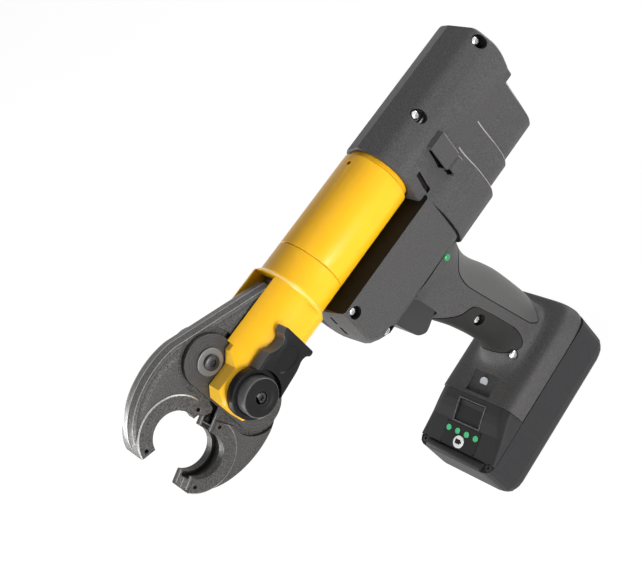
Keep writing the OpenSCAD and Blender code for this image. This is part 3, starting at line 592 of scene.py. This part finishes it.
def domed(x, z, y, r, rise, deep, drive):
    """A screw's head with its top at y, domed by rise over a rim that reaches deep."""
    arc = [(y - rise + rise * math.sin(t), r * math.cos(t) ** 0.8)
           for t in (math.pi / 2 * i / 8 for i in range(8))]
    return shape(spun(x, z, [(y - deep, r)] + arc), cut=[star(x, z, drive, y - 1.5, y + 1)])


for number, at in enumerate(BODY_SCREWS + COVER_SCREWS):
    piece(domed(*at, **SCREW_HEAD), f"housing_screw_{number + 1}", "drive",
          [bright_steel], edge=0.12, stands_for=["case_screws"] if number == 0 else None)
for number, at in enumerate(GRIP_SCREWS):
    piece(domed(*at, **SCREW_HEAD), f"handle_screw_{number + 1}", "drive",
          [bright_steel], place=MM, edge=0.12,
          stands_for=["handle_screws"] if number == 0 else None)

# Trigger, switch and lamps: a moulded plastic trigger, crowned over its front, slides back onto
# the switch. A small green lamp looks out of the chamfer and a white one lights the work.


def dress(finish, *names, edge=0.0, steps=2, angle=32, second=None, worn=None):
    """Gives CAD nodes a finish and, where edge is set, rounded edges."""
    for name in names:
        o = nodes[name]
        o.data.materials.clear()
        o.data.materials.append(finish)
        if second:
            o.data.materials.append(second)
        if edge:
            weld = o.modifiers.new("weld", "WELD")
            weld.merge_threshold = 2e-6
            round_edges(o, edge, steps, angle, worn)


trigger_plastic = finish_of("trigger_plastic", (0.036, 0.035, 0.036), 0.42,
                            mottle=(1400, 0.12), spec=0.22)
black = finish_of("black_plastic", (0.007, 0.007, 0.0075), 0.38, grain=(1500, 0.12),
                  mottle=(1300, 0.3), spec=0.16)
green_lens = finish_of("green_lens", (0.015, 0.27, 0.09), 0.3, grain=(400, 0.02),
                       mottle=(200, 0.1), coat=0.15)
clear_lens = finish_of("clear_lens", (0.5, 0.52, 0.55), 0.1, grain=(400, 0.02),
                       mottle=(200, 0.05), coat=0.6)
dress(trigger_plastic, "trigger", edge=1.6, steps=4)
dress(black, "switch_unit", edge=0.3)
lens = spun(-66.6, -66.2, [(20, 2.5), (25, 2.5), (25.7, 2.2), (26.1, 1.6), (26.3, 0.8)], 48)
piece(lens, "status_lens", "drive", [green_lens], stands_for=["status_light"])
dress(clear_lens, "work_light", edge=0.3)

# Press tube: the yellow-painted steel cylinder of the hydraulic press. Its rear steps down into
# the housing, and a small grub screw closes a bore on its top.
GRUB_X = -66.5
yellow = finish_of("yellow_paint", (1.0, 0.52, 0.012), 0.36, grain=(300, 0.05),
                   mottle=(60, 0.02), coat=0.06, spec=0.3)
# Painted highlight: a lighter, glossier yellow on the rounded edges of the tube and fork and on
# the steps of the shoulder, and on the cheeks' milled faces to lighten their shade.
yellow_highlight = finish_of("yellow_highlight", (1.0, 0.59, 0.05), 0.26, grain=(300, 0.05),
                        mottle=(60, 0.02), coat=0.3, spec=0.4)
dark_steel = finish_of("dark_steel", (0.05, 0.049, 0.05), 0.38, 0.7, mottle=(900, 0.2))
# The tube's rounded edges take the painted highlight yellow.
dress(yellow, "press_tube", edge=0.6, steps=3, second=yellow_highlight, worn=1)
grub = domed(0, 0, 21.9, 2.1, 0.2, 1.6, 1.2)
grub.data.transform(Matrix.Translation((GRUB_X, 0, 0)) @ Matrix.Rotation(math.pi / 2, 4, "X"))
piece(grub, "grub_screw", "drive", [dark_steel])

# Fork head: turned and milled from steel and painted with the tube, it swivels on a wire ring
# in the tube's front. Its two cheeks take the lock pin, and the bright arc round its shoulder is
# a painted highlight.
TUBE_R, BORE_R, HEAD_R, SLOT_H = 23.0, 18.0, 26.0, 10.4
PIN_X, PIN_BORE_D, RAM_BORE_D, FORK_TIP, SHOULDER_X, FLAT_DEEP = 83, 16.1, 16.1, 98.5, 21, 1.2
FORK_SIDE = [(-30, 30), (66.5, 30), (67.3, 21.4), (71.6, 21.4), (77.5, 15.2), (93.5, 15.2),
             (FORK_TIP, 9.3)]
# Painted highlight: a pale yellow on the flare of the shoulder, where a broad light would glint.
yellow_shoulder_highlight = finish_of("yellow_shoulder_highlight", (1.0, 0.74, 0.27), 0.25, grain=(300, 0.05),
                         mottle=(60, 0.02), coat=0.3, spec=0.4)
steel = finish_of("machined_steel", (0.36, 0.35, 0.345), 0.3, 0.9, grain=(2500, 0.1),
                  mottle=(900, 0.16))


def turned(profile, n=96, strips=None):
    """A solid turned about the tube's axis, its profile being (x, radius) from rear to front."""
    return loft([[(x, r * math.cos(a), r * math.sin(a)) for a in full_turn(n)]
                 for x, r in profile], strips)


def fork():
    """The head turned on the tube's axis, then slotted, bored and milled flat on both sides."""
    # Strips 5 and 7, the shoulder's steps, take the painted highlight yellow, and strip 6, its
    # flare, the brighter painted shoulder highlight.
    head = turned([(-24, BORE_R - 0.05), (-3, BORE_R - 0.05), (-3, TUBE_R - 0.5),
                   (-2.5, TUBE_R), (16.4, TUBE_R), (17.1, TUBE_R + 0.4), (18, TUBE_R + 1.3),
                   (18.9, HEAD_R - 0.8), (19.8, HEAD_R - 0.2), (20.8, HEAD_R),
                   (FORK_TIP, HEAD_R)], 144, {5: 1, 6: 2, 7: 1})
    # The cheeks' milled faces take the painted highlight yellow, which lightens their shade.
    side = dark(prism(FORK_SIDE + [(x, -z) for x, z in FORK_SIDE[::-1]], -40, 40), 1)
    ring_groove = shape(bar(-18, -16, 2 * BORE_R + 2), cut=[bar(-19, -15, 2 * BORE_R - 3.2)])
    lever_way = dark(block((41.75, 19.7, -4.3), (68, 40, 4.3)), 0)
    cuts = [block((20, -SLOT_H, -40), (120, SLOT_H, 40)),
            block((3.7, -SLOT_H, -18), (SHOULDER_X, SLOT_H, 18)), bar(-25, 4.7, RAM_BORE_D),
            rod(PIN_X, 0, -40, 40, PIN_BORE_D), ring_groove,
            block((SHOULDER_X, HEAD_R - FLAT_DEEP, -40), (120, 40, 40)),
            block((SHOULDER_X, -40, -40), (120, FLAT_DEEP - HEAD_R, 40)), lever_way]
    return shape(head, keep=[side], cut=cuts)


piece(fork(), "fork", "head", [yellow, yellow_highlight, yellow_shoulder_highlight], edge=0.7,
      steps=3, worn=1, stands_for=["fork_head"])
dress(steel, "swivel_ring", "piston", "lock_pin", "roller_axles", edge=0.3)
dress(dark_steel, "upper_roller", "lower_roller", edge=0.3)

# Lock pin: a hard steel pin with a moulded knob that turns in a round seat on the left cheek.
# A black screw in the knob's dished face holds it to the pin.
# Painted sheen: a lighter black on the knob's side, the lever's sides and the rounded edges of the
# lever, release button and window frame, for the light caught there.
black_painted_sheen = finish_of("black_painted_sheen", (0.07, 0.07, 0.072), 0.35, grain=(1500, 0.1))
dress(black, "pin_seat", edge=0.6, steps=3)
# The knob's side and its rounding, strips 1 to 3, take the painted sheen.
knob = spun(PIN_X, 0, [(27, 11.8), (27.4, 12.2), (36.8, 12.2), (37.5, 12), (37.9, 11.5),
                       (38, 11), (38, 7.4), (37.8, 6.9), (37.8, 5), (37.9, 4.6), (37.9, 4.3),
                       (37.6, 4)], 96, {1: 1, 2: 1, 3: 1})
piece(shape(knob, cut=[rod(PIN_X, 0, 35, 39, 7.4)]), "knob", "lock_pin",
      [black, black_painted_sheen], edge=0.15, stands_for=["pin_knob"])
piece(domed(PIN_X, 0, 37.4, 3.4, 0.5, 2.4, 1.9), "knob_bolt", "lock_pin",
      [dark_steel], edge=0.1, stands_for=["knob_screw"])

# Lock lever: a black moulding that slides on the cheek behind the seat and locks the pin. Its
# rear flares into two finger lobes, its sides are scooped, and an oval pad is sunk in its top.
LEVER_SIDE = [(42, 12.6, 1.6), (46.2, 12.4, 2.5), (48.8, 8, 4), (55.4, 8.2, 4), (60.6, 12, 1),
              (74, 11, 1), (80, 8, 0), (80, -12, 0), (74.8, -14.6, 1), (57, -12.8, 3),
              (50.6, -10.8, 3), (47, -11.6, 2), (45.4, -14.4, 1.4), (41.8, -14.2, 1.6)]
SEAT_ROOM_D = 31.8


def lever():
    """The lever's body, its foot in the cheek's groove, cleared round the seat."""
    # The lever's sides and its rounded edges take the painted sheen.
    side = rounded(LEVER_SIDE, 6)
    body = loft([[(p[0], y, p[1]) for p in grown(side, -g)]
                 for y, g in ((25.1, 0.15), (25.3, 0), (33.5, 0), (34.1, 0.2), (34.45, 0.55),
                              (34.6, 1.0))], {1: 1, 2: 1})
    pad = loft([[(55.5 + (9.5 + w) * math.cos(a) + 0.1 * (6 + w) * math.sin(a), y,
                  -1.4 + (6 + w) * math.sin(a)) for a in full_turn(48)]
                for y, w in ((33.9, -0.7), (34.3, -0.2), (35, 0.5))])
    return shape(body, join=[block((46, 20, -4), (64, 25.4, 4))],
                 cut=[rod(PIN_X, 0, 0, OUTSIDE, SEAT_ROOM_D, 96), pad])


piece(lever(), "lever", "lock_lever", [black, black_painted_sheen], edge=0.35, worn=1,
      stands_for=["lock_lever"])

# Side plates: two ground steel links, one on each face of the jaws, that tie both jaw bolts to
# the lock pin. Their ends are turned, and show the tool's rings.
BOLT_Z, BOLT_BORE_D, PLATE_END_D, PLATE_PIN_BORE_D = 24.5, 14.1, 32.8, 16.2
PLATE_IN, PLATE_OUT = 6.9, 9.7
RING_R, RING_W = (10.4, 12.6, 14.8), 0.5
plate_steel = finish_of("plate_steel", (0.05, 0.048, 0.047), 0.4, 0.4, grain=(2200, 0.2),
                        mottle=(1800, 0.25))
washer_steel = finish_of("washer_steel", (0.2, 0.195, 0.192), 0.34, 0.6, grain=(2200, 0.1),
                         mottle=(1500, 0.15))


def side_plate():
    """A flat link with round ends, bored for the pin and both bolts."""
    flat = block((66.6, PLATE_IN, -BOLT_Z), (99.4, PLATE_OUT, BOLT_Z))
    rings = [shape(rod(PIN_X, s * BOLT_Z, 9.4, 10, 2 * r + RING_W, 96),
                   cut=[rod(PIN_X, s * BOLT_Z, 9, 11, 2 * r, 96)])
             for s in (-1, 1) for r in RING_R]
    ends = [rod(PIN_X, s * BOLT_Z, PLATE_IN, PLATE_OUT, PLATE_END_D, 96) for s in (-1, 1)]
    bores = [rod(PIN_X, s * BOLT_Z, 6, 11, BOLT_BORE_D) for s in (-1, 1)]
    bores.insert(0, rod(PIN_X, 0, 6, 11, PLATE_PIN_BORE_D))
    return shape(shape(flat, join=ends), cut=bores + rings)


piece(side_plate(), "link_left", "head", [plate_steel, washer_steel],
      edge=0.35, worn=1, stands_for=["plate_left"])
piece(mirrored(side_plate()), "link_right", "head",
      [plate_steel, washer_steel], edge=0.35, worn=1, stands_for=["plate_right"])

# Jaw bolts: two hard steel bolts that the jaws swing on, each with a washer and a six-lobed
# screw at both ends, outside the side plates.
dress(steel, "jaw_bolts", edge=0.25)
dress(washer_steel, "bolt_washers", edge=0.3)
for number, (side, z) in enumerate(((1, BOLT_Z), (1, -BOLT_Z), (-1, BOLT_Z), (-1, -BOLT_Z))):
    head = domed(PIN_X, z, 13.9, 4.9, 0.9, 2.7, 2.5)
    piece(head if side > 0 else mirrored(head), f"bolt_screw_{number + 1}", "head",
          [dark_steel], edge=0.15, stands_for=["bolt_screws"] if number == 0 else None)

# Pressing tongs: two drop-forged jaws with a speckled skin and a parting line round their rims.
# Their edges and parting line are worn bright and also carry painted highlights, and the rims are
# painted lighter for the light they catch. The half rings round the contour are machined, and each
# face is milled for its plate. A jaw is drawn closed with its bolt as the origin, and turned open
# afterwards.
TAIL_X, PART_Z, OPEN = -57.0, -24.35, math.radians(18)
RAM_STROKE, ROLLER_BACK, ROLLER_Z, ROLLER_CLEAR = 24, 63, 8.5, 8.6
CONTOUR_X, CONTOUR_D, SEAL_GROOVE_D, PIN_CLEAR_D, PLATE_BED_D = 38.6, 28.4, 34, 18.4, 40.4
RELIEF_X, RELIEF_D = 19, 2.6
cast_steel = finish_of("cast_steel", (0.06, 0.058, 0.057), 0.5, 0.4, grain=(1100, 0.9),
                       mottle=(1700, 0.9), spec=0.3)
# Painted light: the rims and their rounding are a lighter steel than the faces, for the light they
# catch.
rim_painted_light_steel = finish_of("rim_painted_light_steel", (0.11, 0.107, 0.104), 0.45, 0.5, grain=(1100, 0.9),
                      mottle=(1700, 0.75), spec=0.4)
# Worn edges and painted highlight: a pale steel on the edges, the parting line and the boss's
# rims, worn bright and lightened further for the glints they catch.
worn_highlight_steel = finish_of("worn_highlight_steel", (0.4, 0.39, 0.382), 0.36, 0.6, grain=(1500, 0.3),
                       mottle=(1500, 0.5))


def jaw_back(g, n=56):
    """A jaw's back from its tail round to its nose, drawn in by g."""
    a, b, c, d = (Vector(p) for p in ((12, 19.9 - g), (34 - g / 2, 19.6 - g), (63.5 - g, 1),
                                      (62 - g, PART_Z)))
    return [Vector((TAIL_X, 13.6 - g))] + [
        (1 - t) ** 3 * a + 3 * (1 - t) ** 2 * t * b + 3 * (1 - t) * t * t * c + t ** 3 * d
        for t in (i / n for i in range(n + 1))]


def roller_place(travel):
    """Where the upper roller stands as the jaw sees it, after this travel of the ram."""
    a = OPEN * (1 - travel / RAM_STROKE)
    x, z = travel - ROLLER_BACK, ROLLER_Z - BOLT_Z
    return Vector((x * math.cos(a) + z * math.sin(a), -x * math.sin(a) + z * math.cos(a)))


def jaw_line(g):
    """A jaw's outline, closed and with its bolt as the origin, drawn in along its back by g."""
    tail = []
    for i in range(20, -1, -1):
        s = 1.5 * i - 6
        u = (roller_place(s + 0.5) - roller_place(s - 0.5)).normalized()
        tail.append(roller_place(s) + ROLLER_CLEAR * Vector((-u[1], u[0])))
    inner = [Vector(p) for p in ((CONTOUR_X, PART_Z), (9, PART_Z), (0, -14), (-12, -12))]
    return jaw_back(g) + inner + [p for p in tail if p[0] > TAIL_X + 1]


def jaw(tongue):
    """One jaw: the upper has a tongue that meets a slot in the lower when they close."""
    round_off = [(5.4 + 3.4 * math.cos(t), 0.7 + 6.3 * (1 - math.sin(t)))
                 for t in (math.radians(a) for a in (0, 18, 36, 52, 66, 79, 90))]
    half = round_off + [(0.8, 0.3), (0.3, 0)]
    levels = [(-y, g) for y, g in half] + half[::-1]
    # Strips 5, 8 and 11 take the worn and highlight steel; the rest of the rim and its rounding
    # take the painted light steel.
    body = loft([[(p[0], y, p[1]) for p in jaw_line(g)] for y, g in levels],
                {3: 2, 4: 2, 5: 1, 6: 2, 7: 2, 8: 1, 9: 2, 10: 2, 11: 1, 12: 2, 13: 2})
    boss = shape(spun(CONTOUR_X, -BOLT_Z, [(-9.6, 22.9), (-9, 23.7), (9, 23.7), (9.6, 22.9)],
                      120, {0: 1, 2: 1}), cut=[block((0, -20, -60), (80, 20, PART_Z))])
    recess = [(16.8, 1), (16.8, -40), (TAIL_X - 5, -40), (TAIL_X - 5, 9), (-14, 3)]
    cuts = [rod(0, 0, -20, 20, BOLT_BORE_D), rod(CONTOUR_X, -BOLT_Z, -20, 20, CONTOUR_D, 120),
            rod(CONTOUR_X, -BOLT_Z, -4, 4, SEAL_GROOVE_D, 120),
            rod(0, -BOLT_Z, -20, 20, PIN_CLEAR_D)]
    cuts += [dark(rod(CONTOUR_X + dx, PART_Z + 2.9, -20, 20, RELIEF_D))
             for dx in (-RELIEF_X, RELIEF_X)]
    if not tongue:
        cuts.append(block((7, -4.4, PART_Z - 3), (20.8, 4.4, PART_Z + 9.6)))
    for y0, y1 in ((6.2, 20), (-20, -6.2)):
        cuts += [rod(0, 0, y0, y1, PLATE_BED_D, 96), prism(recess, y0, y1)]
    tong = shape(shape(body, join=[boss]), cut=cuts)
    if tongue:
        tooth = prism([(9.6, PART_Z + 4), (9.6, PART_Z - 6.6), (12, PART_Z - 8.4),
                       (18.6, PART_Z - 6), (19.9, PART_Z - 2), (19.9, PART_Z + 4)], -3.9, 3.9)
        tong = shape(tong, join=[tooth])
    return tong


for name, flip in (("upper_jaw", 1), ("lower_jaw", -1)):
    one = jaw(flip > 0)
    one.data.transform(Matrix.Translation((PIN_X, 0, BOLT_Z)) @ Matrix.Rotation(-OPEN, 4, "Y"))
    if flip < 0:
        one.data.transform(Matrix.Scale(-1, 4, (0, 0, 1)))
        one.data.flip_normals()
    piece(one, name.replace("jaw", "tong"), name,
          [cast_steel, worn_highlight_steel, rim_painted_light_steel], edge=0.4, angle=30, worn=1, stands_for=[name])

# Inner works: the roller carrier on the ram, the gear pump, gearbox, motor and board in the
# housing, and the brass blades of the battery's socket. They show where the battery is off.
alloy = finish_of("alloy", (0.6, 0.61, 0.62), 0.4, 1.0)
board_green = finish_of("board_green", (0.02, 0.16, 0.06), 0.35)
brass = finish_of("contact_brass", (0.72, 0.5, 0.2), 0.3, 1.0)
dress(dark_steel, "roller_carrier", edge=0.25)
dress(alloy, "pump_block", "motor", "gearbox")
dress(steel, "motor_shaft")
dress(board_green, "control_board")
dress(brass, "battery_terminals", "battery_contacts")

# Battery: two moulded plastic shells screwed together round ten cells. The top slopes down to a
# rounded bead at the front, with the release button in a framed window and the display under it.
SLOPE = MM @ Matrix.Translation((43, 0, 47.3)) @ Matrix.Rotation(math.radians(16.81), 4, "Y")
LIGHT_PITCH, LIGHT_HOLE_D, BUTTON_HOLE_D = 9, 4.5, 9.8
battery_plastic = finish_of("battery_plastic", (0.026, 0.026, 0.0275), 0.5,
                            grain=(1700, 0.35), mottle=(1400, 0.2), spec=0.16)
display_black = finish_of("display_black", (0.01, 0.01, 0.011), 0.28, grain=(1500, 0.03),
                          spec=0.25)
cell_wrap = finish_of("cell_wrap", (0.05, 0.2, 0.5), 0.3)
charge_green = finish_of("charge_green", (0.06, 0.56, 0.22), 0.35, grain=(400, 0.02),
                         mottle=(200, 0.1))
white_button = finish_of("white_button", (0.88, 0.88, 0.87), 0.35, grain=(400, 0.03),
                         mottle=(200, 0.03))
dress(battery_plastic, "battery_lower_case", "battery_upper_case", edge=0.5)
dress(cell_wrap, "battery_cells")
dress(dark_steel, "battery_screws", edge=0.2)
# The rounded edges of the release button and of the window frame take the painted sheen.
dress(display_black, "release_button", edge=0.4, second=black_painted_sheen, worn=1)
dress(charge_green, "charge_lights", edge=0.2)
dress(white_button, "level_button", edge=0.3)

frame_side = [(26.1, 54.5), (30, 53.4), (36, 51), (43.4, 47.5), (43.4, 45.6), (36, 49),
              (30, 51.4), (26.1, 52.4)]
window = shape(prism(frame_side, -13.5, 13.5), cut=[block((27.1, -12.4, 30), (42.4, 12.4, 70))])
piece(window, "window_frame", "battery", [black, black_painted_sheen], place=MM,
      edge=0.35, worn=1)


def upright(outline, z0, z1):
    """An outline in x and y, run up from z0 to z1."""
    return loft([[(p[0], p[1], z) for p in outline] for z in (z0, z1)])


def disc(x, y, d, z0, z1, n=32):
    """A round disc lying on the slope."""
    return upright([(x + d / 2 * math.cos(a), y + d / 2 * math.sin(a)) for a in full_turn(n)],
                   z0, z1)


panel = upright(rounded([(1.6, -17, 2.4), (18.6, -17, 2.4), (18.6, 17, 2.4), (1.6, 17, 2.4)], 6),
                -1, 0.2)
holes = [disc(6.5, LIGHT_PITCH * i - 13.5, LIGHT_HOLE_D, -2, 2) for i in range(4)]
holes.append(disc(13.6, 0, BUTTON_HOLE_D, -2, 2, 48))
piece(shape(panel, cut=holes), "display", "battery", [display_black],
      place=SLOPE, edge=0.2, stands_for=["display_panel"])
mark = upright([(11.9, -2.9), (15.3, -2.9), (15.3, 1.9), (11.9, 1.9)], 0.9, 1.04)
mark_tip = upright([(12.8, 1.8), (14.4, 1.8), (14.4, 3), (12.8, 3)], 0.9, 1.04)
piece(shape(mark, join=[mark_tip]), "charge_mark", "level_button", [black],
      place=SLOPE)
